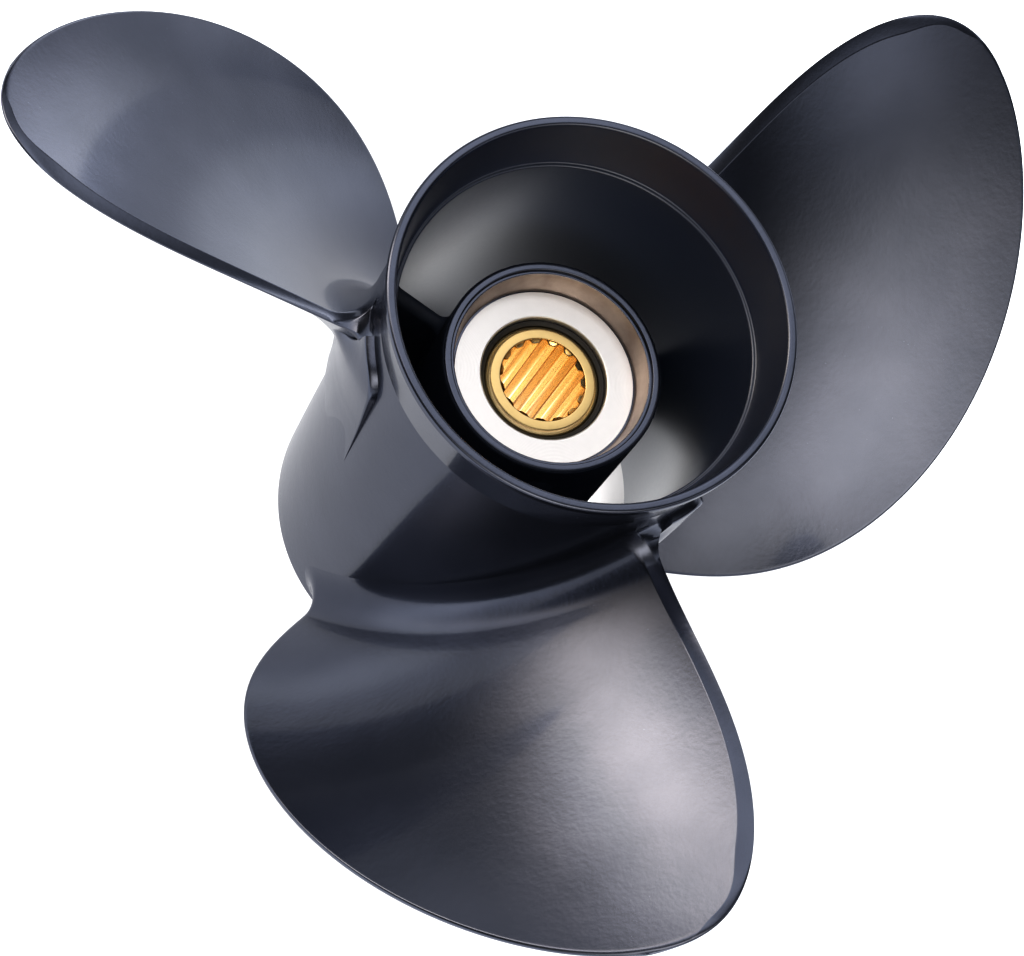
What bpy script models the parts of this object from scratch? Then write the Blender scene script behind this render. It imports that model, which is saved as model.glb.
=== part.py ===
"""Three-blade propeller with its exhaust led through the hub, as fitted to outboard motors.

Metres, +Z up. The shaft axis is Z and +Z points aft, so the propeller stands on the
forward end of its barrel, which is the plane z = 0. It is a right-hand propeller:
seen from aft it turns clockwise to drive ahead.
"""

import math

import bmesh
import bpy
from mathutils import Matrix, Vector

MM = 0.001
GAP = 0.3 * MM

# Barrel: the outer wall of the hub, with the exhaust passage inside it.
HUB_LENGTH = 157.5 * MM
BARREL_FORWARD_R = 50.3 * MM
BARREL_AFT_R = 53.1 * MM
BARREL_BOW = 0.4 * MM
BARREL_FORWARD_BORE_R = 47.3 * MM
BARREL_AFT_BORE_R = 49.5 * MM
BARREL_CHAMFER = 0.6 * MM
COUNTERBORE_R = 48.3 * MM
COUNTERBORE_DEPTH = 30.0 * MM

# Flare: the wider ring that ends the barrel, seen nearest in the photograph.
FLARE_DEPTH = 19.5 * MM
FLARE_STEP_DEPTH = 17.4 * MM
RIM_R = 56.3 * MM
RIM_BORE_R = 53.7 * MM
RIM_ROUND = 0.8 * MM
FLARE_FOOT_BORE_R = 50.6 * MM

# Inner hub: the tube that carries the bush, held in the barrel by three ribs.
TUBE_R = 30.9 * MM
TUBE_FORWARD_Z = 6.0 * MM
TUBE_AFT_Z = HUB_LENGTH - 39.1 * MM
NUT_RECESS_R = 27.5 * MM
NUT_RECESS_FLOOR_R = 25.9 * MM
NUT_SEAT_Z = HUB_LENGTH - 47.7 * MM
BUSH_BORE_R = 25.0 * MM
LIP_BORE_R = 17.9 * MM
LIP_THICKNESS = 6.8 * MM

RIB_COUNT = 3
RIB_THICKNESS = 4.6 * MM
RIB_FORWARD_Z = 36.0 * MM
RIB_AFT_Z = HUB_LENGTH - 56.3 * MM
RIB_CUT_BACK_TUBE_Z = 110.0 * MM
RIB_CUT_BACK_WALL_Z = 73.0 * MM
RIB_EDGE_ROUND = 1.4 * MM
RIB_LAG = math.radians(6.8)

# Bush: brass sleeve with an internal spline, in a moulded rubber ring.
SLEEVE_R = 16.3 * MM
SLEEVE_FORWARD_Z = 14.0 * MM
SLEEVE_AFT_Z = HUB_LENGTH - 49.0 * MM
SLEEVE_CHAMFER = 1.2 * MM
SPLINE_LEAD_IN = 0.9 * MM
SPLINE_TEETH = 15
SPLINE_TIP_R = 11.1 * MM
SPLINE_ROOT_R = 12.1 * MM
SPLINE_TOOTH_SHARE = 0.44
SPLINE_FLANK_SHARE = 0.1
RUBBER_FORWARD_Z = 22.0 * MM
RUBBER_AFT_Z = HUB_LENGTH - 49.2 * MM

# Blades: the pressure face is a helicoid. Each list gives a value at even steps of the span.
BLADE_COUNT = 3
BLADE_ANGLE = math.radians(90.0)
BLADE_ROOT_R = 48.4 * MM
BLADE_TIP_R = 165.1 * MM
BLADE_SKEW = [math.radians(a) for a in (-1.1, -1.7, 4.0, 16.0)]
BLADE_MID_Z = [66.4 * MM, 90.7 * MM, 131.3 * MM]
BLADE_PITCH = [529.0 * MM, 535.0 * MM, 501.0 * MM]
BLADE_HALF_CHORD = [32.7 * MM, 55.1 * MM, 76.2 * MM, 81.2 * MM]
BLADE_ROOT_THICKNESS = 11.0 * MM
BLADE_TIP_THICKNESS = 3.2 * MM
BLADE_EDGE_THICKNESS = 2.0 * MM
TRAILING_EDGE_THICKNESS = 2.2 * MM
BLADE_THINNING = 1.5
BLADE_FILLET = 7.0 * MM
PRESSURE_FILLET_SHARE = 0.6
FILLET_FADE = 8

# The trailing edge is cut back on the pressure side, leaving a narrow slanting face.
BEVEL_WIDTH = 2.3 * MM
BEVEL_EDGE_LEFT = 0.5 * MM
BEVEL_HALF_GONE = (0.80, 0.93)
BEVEL_ENDS = (0.95, 1.0)
BEVEL_SIDE = (-0.2, 0.6)

ROUND_STEPS = 96
SPAN_STEPS = 16
FILLET_STEPS = 3
CHORD_STEPS = 16
FOOT_STEPS = 5
MERGE_DISTANCE = 0.001 * MM
TIP_MERGE_DISTANCE = 0.01 * MM

PAINT = ("blue_grey_paint", (0.075, 0.085, 0.115), 0.35, 0.6)
BRASS = ("brass", (0.80, 0.52, 0.16), 0.3, 1.0)
RUBBER = ("black_rubber", (0.015, 0.014, 0.013), 0.7, 0.0)


def clear_scene():
    for obj in list(bpy.data.objects):
        bpy.data.objects.remove(obj, do_unlink=True)


def material(name, colour, roughness, metallic):
    found = bpy.data.materials.get(name)
    if found:
        return found
    made = bpy.data.materials.new(name)
    made.use_nodes = True
    shader = made.node_tree.nodes["Principled BSDF"]
    shader.inputs["Base Color"].default_value = (*colour, 1.0)
    shader.inputs["Roughness"].default_value = roughness
    shader.inputs["Metallic"].default_value = metallic
    return made


def add_object(name, mesh_builder, finish):
    """Make an object of the bmesh, with outward normals and smooth round faces."""
    bmesh.ops.recalc_face_normals(mesh_builder, faces=mesh_builder.faces)
    mesh = bpy.data.meshes.new(name)
    mesh_builder.to_mesh(mesh)
    mesh_builder.free()
    mesh.shade_smooth()
    mesh.set_sharp_from_angle(angle=math.radians(35))
    mesh.materials.append(material(*finish))
    obj = bpy.data.objects.new(name, mesh)
    bpy.context.scene.collection.objects.link(obj)
    return obj


def through(values, t):
    """The smooth curve through values set at even steps from t = 0 to t = 1."""
    last = len(values) - 1
    total = 0.0
    for i, value in enumerate(values):
        weight = 1.0
        for j in range(len(values)):
            if j != i:
                weight *= (t * last - j) / (i - j)
        total += weight * value
    return total


def turned(name, outline, finish, steps=ROUND_STEPS):
    """Spin a closed outline of (radius, height) points about the shaft axis."""
    bm = bmesh.new()
    ring = [bm.verts.new((r, 0.0, z)) for r, z in outline]
    edges = [bm.edges.new((a, b)) for a, b in zip(ring, ring[1:] + ring[:1])]
    bmesh.ops.spin(
        bm,
        geom=ring + edges,
        cent=(0.0, 0.0, 0.0),
        axis=(0.0, 0.0, 1.0),
        angle=math.tau,
        steps=steps,
        use_duplicate=False,
    )
    bmesh.ops.remove_doubles(bm, verts=bm.verts, dist=MERGE_DISTANCE)
    return add_object(name, bm, finish)


def barrel_radius(z):
    """Outer radius of the barrel: it widens aft in a slight bow."""
    t = min(max(z / (HUB_LENGTH - FLARE_DEPTH), 0.0), 1.0)
    return BARREL_FORWARD_R + (BARREL_AFT_R - BARREL_FORWARD_R) * t + BARREL_BOW * 4 * t * (1 - t)


def barrel_bore(z):
    t = z / (HUB_LENGTH - FLARE_DEPTH)
    return BARREL_FORWARD_BORE_R + (BARREL_AFT_BORE_R - BARREL_FORWARD_BORE_R) * t


def outer_barrel():
    """The barrel wall, with a counterbore at its forward end that fits over the gearcase."""
    top = HUB_LENGTH - FLARE_DEPTH - GAP
    steps = 6
    outside = [(barrel_radius(top * i / steps), top * i / steps) for i in range(1, steps + 1)]
    outline = [
        (barrel_bore(top), top),
        (barrel_bore(COUNTERBORE_DEPTH), COUNTERBORE_DEPTH),
        (COUNTERBORE_R, COUNTERBORE_DEPTH),
        (COUNTERBORE_R, 0.0),
        (BARREL_FORWARD_R - BARREL_CHAMFER, 0.0),
        (barrel_radius(BARREL_CHAMFER), BARREL_CHAMFER),
    ]
    return turned("outer_barrel", outline + outside, PAINT)


def flare_ring():
    foot = HUB_LENGTH - FLARE_DEPTH
    step = HUB_LENGTH - FLARE_STEP_DEPTH
    outline = [
        (BARREL_AFT_BORE_R, foot),
        (BARREL_AFT_R, foot),
        (RIM_R, HUB_LENGTH - 2 * RIM_ROUND),
        (RIM_R, HUB_LENGTH - RIM_ROUND),
        (RIM_R - RIM_ROUND, HUB_LENGTH),
        (RIM_BORE_R, HUB_LENGTH),
        (RIM_BORE_R - RIM_ROUND / 2, HUB_LENGTH - RIM_ROUND),
        (FLARE_FOOT_BORE_R, step),
        (BARREL_AFT_BORE_R, step),
    ]
    return turned("flare_ring", outline, PAINT)


def inner_hub():
    lip_z = NUT_SEAT_Z - LIP_THICKNESS
    outline = [
        (BUSH_BORE_R, TUBE_FORWARD_Z),
        (TUBE_R, TUBE_FORWARD_Z),
        (TUBE_R, TUBE_AFT_Z),
        (NUT_RECESS_R, TUBE_AFT_Z),
        (NUT_RECESS_FLOOR_R, NUT_SEAT_Z),
        (LIP_BORE_R, NUT_SEAT_Z),
        (LIP_BORE_R, lip_z),
        (BUSH_BORE_R, lip_z),
    ]
    return turned("inner_hub", outline, PAINT)


def rubber_bush():
    lip_z = NUT_SEAT_Z - LIP_THICKNESS - GAP
    inner = SLEEVE_R + GAP
    neck = LIP_BORE_R - GAP
    body = BUSH_BORE_R - GAP
    outline = [
        (inner, RUBBER_FORWARD_Z),
        (body, RUBBER_FORWARD_Z),
        (body, lip_z),
        (neck, lip_z),
        (neck, RUBBER_AFT_Z),
        (inner, RUBBER_AFT_Z),
    ]
    return turned("rubber_bush", outline, RUBBER, steps=60)


def spline_sleeve():
    """Brass sleeve: a round outside and a toothed bore, chamfered where it shows."""
    bm = bmesh.new()
    pitch = math.tau / SPLINE_TEETH
    tip_half = SPLINE_TOOTH_SHARE * pitch / 2
    flank = SPLINE_FLANK_SHARE * pitch
    corners = [
        (-tip_half, SPLINE_TIP_R),
        (tip_half, SPLINE_TIP_R),
        (tip_half + flank, SPLINE_ROOT_R),
        (pitch - tip_half - flank, SPLINE_ROOT_R),
    ]
    bore = []
    for tooth in range(SPLINE_TEETH):
        for turn, radius in corners:
            bore.append((radius, tooth * pitch + turn))

    def ring(points, z):
        return [bm.verts.new((r * math.cos(a), r * math.sin(a), z)) for r, a in points]

    def circle(radius, z):
        return ring([(radius, angle) for _, angle in bore], z)

    rings = [
        circle(SLEEVE_R, SLEEVE_FORWARD_Z),
        circle(SLEEVE_R, SLEEVE_AFT_Z - SLEEVE_CHAMFER),
        circle(SLEEVE_R - SLEEVE_CHAMFER, SLEEVE_AFT_Z),
        circle(SPLINE_ROOT_R + SPLINE_LEAD_IN / 2, SLEEVE_AFT_Z),
        ring(bore, SLEEVE_AFT_Z - SPLINE_LEAD_IN),
        ring(bore, SLEEVE_FORWARD_Z),
    ]
    for first, second in zip(rings, rings[1:] + rings[:1]):
        for i in range(len(first)):
            j = (i + 1) % len(first)
            bm.faces.new((first[i], first[j], second[j], second[i]))
    return add_object("spline_sleeve", bm, BRASS)


def rib(number):
    """A flat web from the inner hub to the barrel wall, on one radius.

    The aft edge of the first is square to the axis; on the others it is cut back at the wall.
    """
    angle = BLADE_ANGLE + RIB_LAG + number * math.tau / RIB_COUNT
    half = RIB_THICKNESS / 2
    tube_z = RIB_CUT_BACK_TUBE_Z if number else RIB_AFT_Z
    wall_z = RIB_CUT_BACK_WALL_Z if number else RIB_AFT_Z
    outline = [
        (TUBE_R + GAP, RIB_FORWARD_Z),
        (math.sqrt((barrel_bore(RIB_FORWARD_Z) - GAP) ** 2 - half**2), RIB_FORWARD_Z),
        (math.sqrt((barrel_bore(wall_z) - GAP) ** 2 - half**2), wall_z),
        (TUBE_R + GAP, tube_z),
    ]
    bm = bmesh.new()
    face = bm.faces.new([bm.verts.new((x, -half, z)) for x, z in outline])
    grown = bmesh.ops.extrude_face_region(bm, geom=[face])
    moved = [v for v in grown["geom"] if isinstance(v, bmesh.types.BMVert)]
    bmesh.ops.translate(bm, verts=moved, vec=(0.0, RIB_THICKNESS, 0.0))
    middle = (RIB_FORWARD_Z + RIB_CUT_BACK_WALL_Z) / 2
    ends = [
        e
        for e in bm.edges
        if (e.verts[0].co.z > middle) == (e.verts[1].co.z > middle)
        and abs(e.verts[0].co.y - e.verts[1].co.y) < MERGE_DISTANCE
    ]
    bmesh.ops.bevel(
        bm, geom=ends, offset=RIB_EDGE_ROUND, segments=2, profile=0.5, affect="EDGES"
    )
    obj = add_object(f"rib_{number + 1}", bm, PAINT)
    obj.rotation_euler = (0.0, 0.0, angle)
    return obj


def helicoid(span, across):
    """Pressure-face point at span 0 (root) to 1 (tip), across -1 (leading) to 1 (trailing)."""
    radius = BLADE_ROOT_R + (BLADE_TIP_R - BLADE_ROOT_R) * span
    half = through(BLADE_HALF_CHORD, span) * math.sqrt(max(1 - span * span, 0.0))
    turn = across * half / radius
    angle = through(BLADE_SKEW, span) + turn
    z = through(BLADE_MID_Z, span) + turn * through(BLADE_PITCH, span) / math.tau
    return Vector((radius * math.cos(angle), radius * math.sin(angle), z))


def helicoid_normal(span, across):
    """Unit normal of the pressure face, pointing forward into the blade."""
    step = 1e-3
    span = min(span, 0.99)
    along = helicoid(span + step, across) - helicoid(span - step, across)
    chordwise = helicoid(span, across + step) - helicoid(span, across - step)
    normal = along.cross(chordwise).normalized()
    return -normal if normal.z > 0 else normal


def thickness(span, across):
    """Blade thickness: full at mid chord, thin at the edges."""
    taper = (1 - span) ** BLADE_THINNING
    middle = BLADE_TIP_THICKNESS + (BLADE_ROOT_THICKNESS - BLADE_TIP_THICKNESS) * taper
    added = (TRAILING_EDGE_THICKNESS - BLADE_EDGE_THICKNESS) * (1 + across) / 2 * (1 - span**4)
    edge = BLADE_EDGE_THICKNESS + added
    return edge + (middle - edge) * (1 - across * across)


def smooth_step(value, low, high):
    t = min(max((value - low) / (high - low), 0.0), 1.0)
    return t * t * (3 - 2 * t)


def bevel_fade(span):
    """The bevel is half as wide near the tip and ends at it."""
    return 1 - 0.55 * smooth_step(span, *BEVEL_HALF_GONE) - 0.45 * smooth_step(span, *BEVEL_ENDS)


def bevel_line(span):
    """The place across the blade of the bevel's inner line."""
    kept = 1 - BEVEL_WIDTH * bevel_fade(span) / through(BLADE_HALF_CHORD, span)
    return math.sqrt(max(1 - (1 - kept * kept) / max(1 - span * span, 1e-6), 0.25))


def bevel_depth(span, across):
    """How far the bevel cuts into the pressure side."""
    width = BEVEL_WIDTH * bevel_fade(span)
    from_centre = math.sqrt(across * across * (1 - span * span) + span * span)
    inset = through(BLADE_HALF_CHORD, span) * (1 - from_centre)
    if inset >= width:
        return 0.0
    share = bevel_fade(span) * smooth_step(across, *BEVEL_SIDE)
    return (thickness(span, across) - BEVEL_EDGE_LEFT) * (1 - inset / width) * share


def chord_place(column, span):
    """Where a column lies across the blade: the last but one keeps to the bevel's line."""
    place = -math.cos(math.pi * column / CHORD_STEPS)
    line_place = -math.cos(math.pi * (CHORD_STEPS - 1) / CHORD_STEPS)
    if column == CHORD_STEPS:
        return 1.0
    return (place + 1) / (line_place + 1) * (bevel_line(span) + 1) - 1


def fillet_swell(height):
    """How far the root fillet stands out from a face, this far above the barrel."""
    if height >= BLADE_FILLET:
        return 0.0
    rest = 1 - height / BLADE_FILLET
    return BLADE_FILLET * (1 - math.sqrt(max(1 - rest * rest, 0.0)))


def seated(point):
    """The point moved radially onto the barrel, a gap above it."""
    radius = math.hypot(point.x, point.y)
    scale = (barrel_radius(point.z) + GAP) / radius
    return Vector((point.x * scale, point.y * scale, point.z))


def span_at_barrel(column):
    """The span at which the pressure face meets the barrel."""
    low, high = 0.0, 0.2
    for _ in range(30):
        middle = (low + high) / 2
        point = helicoid(middle, chord_place(column, middle))
        if math.hypot(point.x, point.y) < barrel_radius(point.z) + GAP:
            low = middle
        else:
            high = middle
    return high


def blade_faces(column):
    """Rows of (pressure point, suction point) from the barrel to the tip, for one column."""
    foot = span_at_barrel(column)
    fillet_span = BLADE_FILLET / (BLADE_TIP_R - BLADE_ROOT_R)
    spans = [foot + fillet_span * (i / FILLET_STEPS) ** 2 for i in range(FILLET_STEPS)]
    start = foot + fillet_span
    for i in range(SPAN_STEPS + 1):
        spans.append(start + (1 - start) * math.sin(math.pi / 2 * i / SPAN_STEPS))
    rows = []
    for number, span in enumerate(spans):
        across = chord_place(column, span)
        face = helicoid(span, across)
        normal = helicoid_normal(span, across)
        height = (span - foot) * (BLADE_TIP_R - BLADE_ROOT_R)
        swell = fillet_swell(height) * (1 - across**FILLET_FADE)
        pressure = face + normal * (bevel_depth(span, across) - swell * PRESSURE_FILLET_SHARE)
        suction = face + normal * (thickness(span, across) + swell)
        if number == 0:
            pressure, suction = seated(pressure), seated(suction)
        rows.append((pressure, suction))
    return rows


def blade(number):
    """A blade from its foot on the barrel to its tip, where the columns close to a point."""
    columns = [blade_faces(i) for i in range(CHORD_STEPS + 1)]
    bm = bmesh.new()
    pressure = [[bm.verts.new(row[0]) for row in column] for column in columns]
    suction = [[bm.verts.new(row[1]) for row in column] for column in columns]
    last = len(columns[0]) - 1

    def skin(first, second):
        for i in range(len(first) - 1):
            bm.faces.new((first[i], first[i + 1], second[i + 1], second[i]))

    for a, b in zip(pressure, pressure[1:]):
        skin(a, b)
    for a, b in zip(suction, suction[1:]):
        skin(b, a)
    skin(suction[0], pressure[0])
    skin(pressure[-1], suction[-1])
    # The foot follows the round of the barrel from one face to the other.
    foot_rows = [[column[0] for column in pressure]]
    for step in range(1, FOOT_STEPS):
        share = step / FOOT_STEPS
        between = [a[0].co.lerp(b[0].co, share) for a, b in zip(pressure, suction)]
        foot_rows.append([bm.verts.new(seated(point)) for point in between])
    foot_rows.append([column[0] for column in suction])
    for a, b in zip(foot_rows, foot_rows[1:]):
        skin(a, b)
    tip = [column[last] for column in pressure] + [column[last] for column in suction]
    bmesh.ops.remove_doubles(bm, verts=tip, dist=TIP_MERGE_DISTANCE)
    holes = [e for e in bm.edges if e.is_boundary]
    bmesh.ops.holes_fill(bm, edges=holes, sides=0)
    obj = add_object(f"blade_{number + 1}", bm, PAINT)
    obj.matrix_world = Matrix.Rotation(BLADE_ANGLE + number * math.tau / BLADE_COUNT, 4, "Z")
    return obj


def main():
    clear_scene()
    shaft = bpy.data.objects.new("shaft_axis", None)
    bpy.context.scene.collection.objects.link(shaft)
    pieces = [outer_barrel(), flare_ring(), inner_hub(), rubber_bush(), spline_sleeve()]
    pieces += [rib(number) for number in range(RIB_COUNT)]
    pieces += [blade(number) for number in range(BLADE_COUNT)]
    for piece in pieces:
        piece.parent = shaft


main()
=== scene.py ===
"""Looks of a three-blade outboard motor propeller, built around the frame of its solids.

Metres, in the frame's own axes: Z is the shaft axis, +Z points aft, z = 0 is the forward end
of the barrel, which stands on the floor. Angles are measured from +X towards +Y.
"""

import math

import bmesh
import bpy
import numpy as np
from mathutils import Matrix, Quaternion, Vector

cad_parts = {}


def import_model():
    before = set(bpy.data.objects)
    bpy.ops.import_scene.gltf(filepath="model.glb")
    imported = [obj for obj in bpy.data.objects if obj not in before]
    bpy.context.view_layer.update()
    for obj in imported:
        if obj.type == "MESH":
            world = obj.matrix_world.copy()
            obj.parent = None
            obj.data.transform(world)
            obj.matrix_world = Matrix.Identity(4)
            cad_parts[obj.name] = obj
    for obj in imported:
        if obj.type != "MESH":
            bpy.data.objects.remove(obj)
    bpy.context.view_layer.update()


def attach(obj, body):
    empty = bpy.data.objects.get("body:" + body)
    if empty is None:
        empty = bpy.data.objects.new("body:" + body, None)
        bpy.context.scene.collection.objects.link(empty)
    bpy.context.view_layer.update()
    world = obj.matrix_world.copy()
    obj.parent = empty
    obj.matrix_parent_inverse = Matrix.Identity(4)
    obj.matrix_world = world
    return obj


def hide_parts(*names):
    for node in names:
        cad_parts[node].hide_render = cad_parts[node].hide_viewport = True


MM = 0.001

# The frame's own sizes, which the visible pieces keep.
HUB_LENGTH = 157.5 * MM
BARREL_FORWARD_R = 50.3 * MM
BARREL_AFT_R = 53.1 * MM
BARREL_BOW = 0.4 * MM
BARREL_FORWARD_BORE_R = 47.3 * MM
BARREL_AFT_BORE_R = 49.5 * MM
COUNTERBORE_R = 48.3 * MM
COUNTERBORE_DEPTH = 30.0 * MM
FLARE_DEPTH = 19.5 * MM
FLARE_STEP_DEPTH = 17.4 * MM
FLARE_FOOT_BORE_R = 50.6 * MM
RIM_R = 56.3 * MM
RIM_BORE_R = 53.6 * MM

TUBE_R = 30.9 * MM
TUBE_FORWARD_Z = 6.0 * MM
TUBE_AFT_Z = HUB_LENGTH - 39.1 * MM
NUT_RECESS_R = 27.5 * MM
NUT_RECESS_FLOOR_R = 25.9 * MM
NUT_SEAT_Z = HUB_LENGTH - 47.7 * MM
BUSH_BORE_R = 25.0 * MM
LIP_BORE_R = 17.9 * MM
LIP_THICKNESS = 6.8 * MM

RIB_COUNT = 3
RIB_THICKNESS = 4.6 * MM
RIB_FORWARD_Z = 36.0 * MM
RIB_AFT_Z = HUB_LENGTH - 56.3 * MM
RIB_HIDDEN_AFT_Z = (110.0 * MM, 73.0 * MM)
RIB_FILLET = 3.0 * MM
RIB_LAG = math.radians(6.8)

SLEEVE_R = 16.3 * MM
SLEEVE_FORWARD_Z = 14.0 * MM
SLEEVE_AFT_Z = HUB_LENGTH - 49.0 * MM
SPLINE_TEETH = 15
SPLINE_TIP_R = 11.1 * MM
SPLINE_ROOT_R = 12.1 * MM
RUBBER_FORWARD_Z = 22.0 * MM
RUBBER_AFT_Z = HUB_LENGTH - 49.2 * MM

# Along the span, a list of values is evenly spaced from the root to the tip.
BLADE_COUNT = 3
BLADE_ANGLE = math.radians(90.0)
BLADE_ROOT_R = 48.4 * MM
BLADE_TIP_R = 165.1 * MM
BLADE_SKEW = [math.radians(a) for a in (-1.1, -1.7, 4.0, 16.0)]
BLADE_MID_Z = [66.4 * MM, 90.7 * MM, 131.3 * MM]
BLADE_PITCH = [529.0 * MM, 535.0 * MM, 501.0 * MM]
BLADE_HALF_CHORD = [32.7 * MM, 55.1 * MM, 76.2 * MM, 81.2 * MM]
BLADE_ROOT_THICKNESS = 11.0 * MM
BLADE_TIP_THICKNESS = 3.2 * MM
BLADE_EDGE_THICKNESS = 2.0 * MM
TRAILING_EDGE_THICKNESS = 2.2 * MM
BLADE_THINNING = 1.5
BLADE_EDGE_ROUND = 1.0 * MM
BLADE_EDGE_POWER = 2.6

# The slanting face of the trailing edge. It loses width in two stretches of the span, and the
# losses add up to all of it. Across the blade, it comes in gradually within BEVEL_SIDE.
BEVEL_WIDTH = 2.3 * MM
BEVEL_LEAST_WIDTH = 0.05 * MM
BEVEL_EDGE_LEFT = 0.5 * MM
BEVEL_LOSSES = (0.55, 0.45)
BEVEL_LOSS_SPANS = ((0.80, 0.93), (0.95, 1.0))
BEVEL_SIDE = (-0.2, 0.6)
BEVEL_EDGE_ROUND = 0.35 * MM
BEVEL_INNERMOST = 0.5

# Small forms of the visible pieces alone.
RIM_BAND = 2.2 * MM
FLARE_LEDGE_SLOPE = 0.1 * MM
TUBE_STEP = 1.0 * MM
TUBE_STEP_SLOPE = 0.2 * MM
SEAT_GROOVE = 0.5 * MM
BUSH_GAP = 0.3 * MM
BUSH_NECK_GAP = 0.1 * MM
BUSH_SLEEVE_GAP = 0.05 * MM
BUSH_END_SLOPE = 0.9 * MM
RIB_SINK = 0.2 * MM
RIB_END_FILLET = 0.6

# The sleeve's aft end, as millimetres in from its outside or out from its mouth, and
# millimetres below its end. The turned face, coloured as a darker copy of the brass for painted
# shade, lies between two of the sleeve's rings.
SLEEVE_END = 0.8 * MM
SLEEVE_SHOULDER = [
    (0.0, 1.9), (0.0, 1.6), (0.06, 1.35), (0.65, 0.8), (1.35, 0.18), (1.55, 0.03), (1.75, 0.0),
]
SLEEVE_MOUTH = [(0.3, 0.0), (0.1, 0.0), (0.0, 0.05)]
SLEEVE_FACE_RINGS = range(5, 9)
MOUTH_R = SPLINE_ROOT_R + 0.1 * MM
LEAD_IN = (0.1, 0.3, 0.5, 0.7, 0.9, 1.0)
LEAD_IN_START = 0.12 * MM
LEAD_IN_DEPTH = 0.9 * MM
TEETH_START = 1.3 * MM
TOOTH_STEEPNESS = 5.0
TOOTH_FULLNESS = 0.15

# Root fillets, as (leading, trailing) radii on each face.
PRESSURE_FILLET = (11.0 * MM, 12.0 * MM)
SUCTION_FILLET = (7.0 * MM, 4.5 * MM)
SKIN_SINK = 0.05 * MM

# Casting pad behind the trailing edge of each root, on the suction side. Places on the barrel
# are (angle past the middle of the root, height above the forward end).
PAD_START = (math.radians(41.5), 130.9 * MM)
PAD_CORNER = (math.radians(57.6), 128.6 * MM)
PAD_END = (math.radians(59.6), 80.0 * MM)
PAD_CORNER_R = 9.0 * MM

# The pad is thick at its aft end, a ridge further forward, and runs out at its forward end.
PAD_LIFT = 2.2 * MM
PAD_RIDGE_LIFT = 0.7 * MM
PAD_LEAST_LIFT = 0.02 * MM
PAD_LIFT_HEIGHTS = (98.0 * MM, 128.0 * MM)
PAD_RUN_OUT = 0.35
PAD_RISE = 7.0 * MM
PAD_RISE_RUN = 0.3
PAD_SINK = 0.6 * MM

# The pad's inner side lies under the blade: it starts and goes forward by these shares of half
# the root's chord, this far ahead of the pressure face and turned to the suction side.
PAD_INNER_START = 0.93
PAD_INNER_LENGTH = 1.15
PAD_INNER_DROP = 1.0 * MM
PAD_INNER_TURN = 0.03

# A section of the pad: its edge as shares of the lift, its top and its base as shares of the
# way to the inner side.
PAD_EDGE_SECTION = [(0.30, 0.62), (0.42, 0.85), (0.62, 0.97), (0.9, 1.0)]
PAD_TOP = (0.3, 0.5, 0.65, 0.8, 0.9, 0.96, 1.0)
PAD_BASE = (1.0, 0.86, 0.72, 0.58, 0.44, 0.3, 0.15)

# The camera, as solved from the rings of the hub and the outlines of the three blades.
CAMERA_AT = Vector((-0.4705, -0.0388, 1.0120))
CAMERA_TARGET = Vector((-0.04236, -0.01263, 0.13636))
CAMERA_ROLL = math.radians(38.28)
CAMERA_LENS_MM = 131.03
CAMERA_CLIP = 0.05
SENSOR_MM = 36.0
VIEW_EXPOSURE = 0.5
VIEW_GAMMA = 0.80

# Soft lights of the studio: azimuth, elevation, width and height in degrees, strength and tint.
WARM, MILD, PLAIN = (1.14, 1.0, 0.81), (1.08, 1.0, 0.86), (1.0, 1.0, 1.0)
SOFT_LIGHTS = [
    (96, 26, 7, 19, 8.2, WARM),
    (108, 8, 7, 7, 1.8, WARM),
    (60, 28, 9, 9, 1.0, PLAIN),
    (-145, 37, 18, 12, 4.3, MILD),
    (-112, 36, 9, 9, 0.9, MILD),
    (-158, 14, 12, 8, 1.9, MILD),
    (-78, 34, 8, 8, 1.6, PLAIN),
    (-18, 12, 7, 7, 2.3, PLAIN),
    (12, 0, 11, 7, 4.4, PLAIN),
    (20, 50, 14, 14, 1.8, PLAIN),
    (3.5, 64, 10, 10, 0.7, PLAIN),
    (90, 72, 15, 15, 1.9, PLAIN),
]

# The floor under the barrel is dark with painted shade, but for painted light along its far side
# and on the disc below the sleeve's bore.
# Each pair is where the dark ends and where the floor is bright.
FLOOR_HALF = 3.0
FLOOR_DROP = 0.3 * MM
UNDER_BARREL = (46.5 * MM, 50.0 * MM)
UNDER_FAR_SIDE = (28.0 * MM, 32.0 * MM)
UNDER_LEFT_SIDE = (22.0 * MM, 10.0 * MM)
UNDER_BORE = (18.0 * MM, 14.0 * MM)
UNDER_SHADE_GLOW = (0.012, 0.014, 0.020, 1.0)
FOOT_SHADE_CENTRE = (-42.0 * MM, -54.0 * MM, 0.0)
FOOT_SHADE_R = (36.0 * MM, 50.0 * MM)

# The floor's glow by distance from the shaft axis, as shares of FLOOR_REACH.
FLOOR_REACH = 500.0 * MM
FLOOR_GLOW = [
    (0.096, (1.4, 1.4, 1.4)),
    (0.102, (0.75, 0.76, 0.79)),
    (0.24, (0.75, 0.76, 0.79)),
    (0.40, (1.40, 1.44, 1.49)),
    (0.64, (1.40, 1.44, 1.49)),
    (0.90, (0.80, 0.82, 0.85)),
]

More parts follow.
